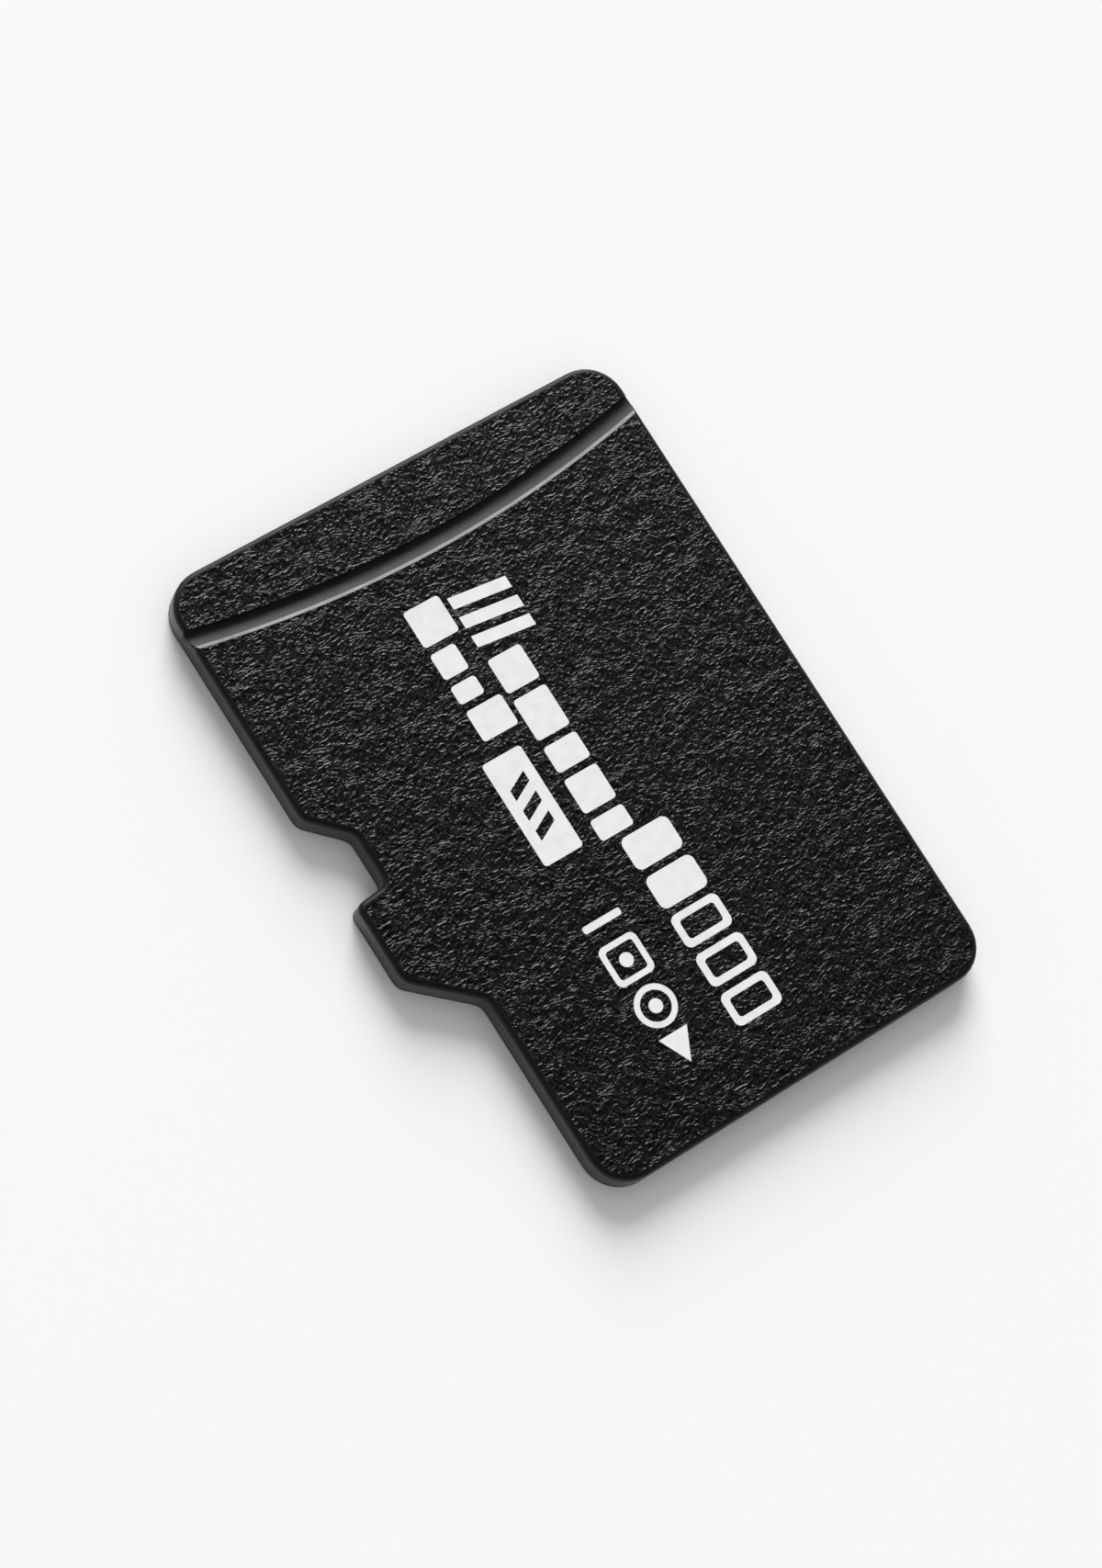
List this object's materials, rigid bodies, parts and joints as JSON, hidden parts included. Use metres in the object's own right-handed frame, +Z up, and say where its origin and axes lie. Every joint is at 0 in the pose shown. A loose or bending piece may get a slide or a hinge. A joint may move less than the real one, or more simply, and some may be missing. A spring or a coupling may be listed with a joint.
{
  "type": "memory card",
  "caption": "Thin black removable memory card with a notched edge, a curved grip groove, white print above and gold contacts below.",
  "frame": {"origin": "middle of the underside, on the surface that the card lies on", "axes": "+Y towards the end that goes into the socket, +X towards the notched side, +Z up through the printed face"},
  "size_m": [0.011, 0.015, 0.0007],
  "materials": {
    "mould": "black moulding compound with a fine leather-like grain on top and smooth walls",
    "laminate": "black glass-fibre laminate edge",
    "contact_mask": "black solder mask, satin gloss",
    "cover_mask": "green solder mask",
    "gold": "gold-plated, satin, with fine wipe marks on the contacts",
    "copper": "bare copper",
    "silicon": "polished silicon",
    "film": "die-attach film",
    "capacitor": "fired ceramic",
    "resistor": "glazed black",
    "tin": "tinned",
    "ink": "white screen ink"
  },
  "bodies": {
    "root": {"mould_body": "mould", "laminate_core": "laminate", "contact_mask": "contact_mask", "cover_mask": "cover_mask", "contact_1": "gold", "contact_2": "gold", "contact_3": "gold", "contact_4": "gold", "contact_5": "gold", "contact_6": "gold", "contact_7": "gold", "contact_8": "gold", "plated_holes": "copper", "top_copper": "copper", "memory_chip_1": "silicon", "memory_chip_2": "silicon", "memory_chip_3": "silicon", "memory_chip_4": "silicon", "chip_film_1": "film", "chip_film_2": "film", "chip_film_3": "film", "chip_film_4": "film", "memory_wires": "gold", "controller_chip": "silicon", "controller_film": "film", "controller_wires": "gold", "capacitor_bodies": "capacitor", "capacitor_ends": "tin", "resistor_bodies": "resistor", "resistor_ends": "tin", "solder_joints": "tin", "print_title": "ink", "print_subtitle": "ink", "print_field": "ink", "print_gauge": "ink", "print_marks": "ink", "print_arrow": "ink"}
  },
  "joints": []
}
